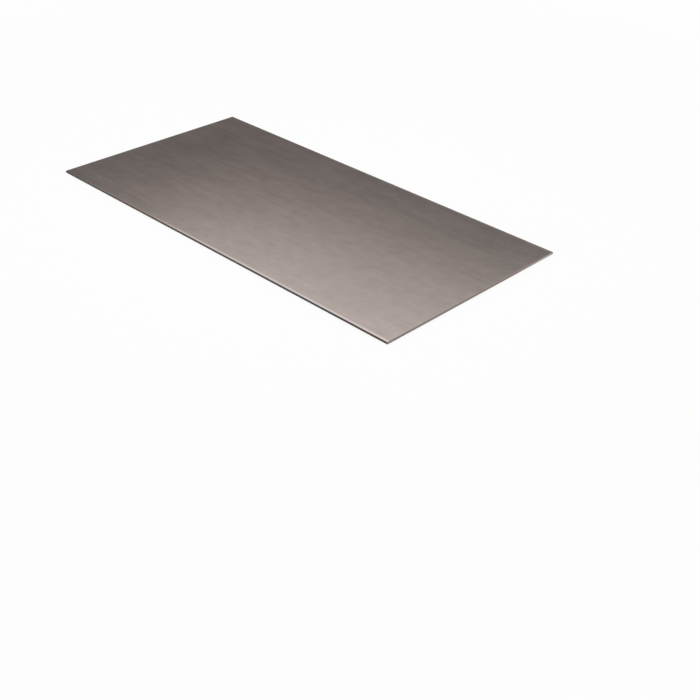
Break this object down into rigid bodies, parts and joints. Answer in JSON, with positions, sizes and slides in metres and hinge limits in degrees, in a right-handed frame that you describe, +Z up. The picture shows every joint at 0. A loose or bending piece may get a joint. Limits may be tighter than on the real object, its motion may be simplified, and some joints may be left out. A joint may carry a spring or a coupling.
{
  "type": "steel sheet",
  "caption": "Flat rectangular sheet of plain mild steel, twice as long as wide, sheared on all sides, with a dull grey rolled finish.",
  "frame": {"origin": "centre of the lower face", "axes": "+X along the long side, which is the rolling direction, +Y across the sheet, +Z up, from the lower face to the face whose edges are rolled over"},
  "size_m": [0.6096, 0.3048, 0.0032],
  "materials": {
    "mill_finish_steel": "dull rolled mill finish, bare"
  },
  "bodies": {
    "root": {"steel_sheet": "mill_finish_steel"}
  },
  "joints": []
}
